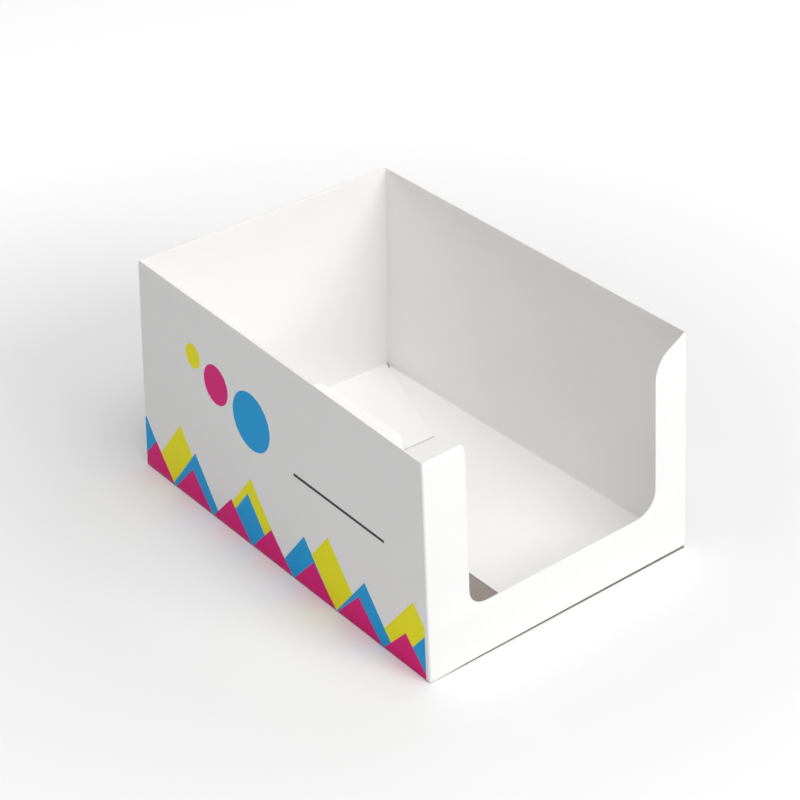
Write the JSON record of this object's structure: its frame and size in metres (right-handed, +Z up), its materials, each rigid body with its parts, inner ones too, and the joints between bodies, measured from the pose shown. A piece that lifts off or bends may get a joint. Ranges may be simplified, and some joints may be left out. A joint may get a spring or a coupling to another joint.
{
  "type": "counter display box",
  "caption": "Open-topped folded carton tray with a low cut-away front rail between two posts, for standing goods on a shop counter.",
  "frame": {"origin": "on the table, under the middle of the tray", "axes": "+Z up, +Y from the cut-away front to the back, +X to the right seen from the front"},
  "size_m": [0.1678, 0.2366, 0.1175],
  "materials": {
    "boxboard": "matte uncoated inside, satin coated outside",
    "flap_board": "matte"
  },
  "bodies": {
    "tray": {"tray": "boxboard"},
    "flap": {"left_bottom_flap": "flap_board"}
  },
  "joints": [
    {"name": "flap_crease", "type": "hinge", "parent": "tray", "child": "flap", "pos_m": [-0.077, 0, 0.0003], "axis": [0, -1, 0], "range_deg": [-14, 60]}
  ]
}
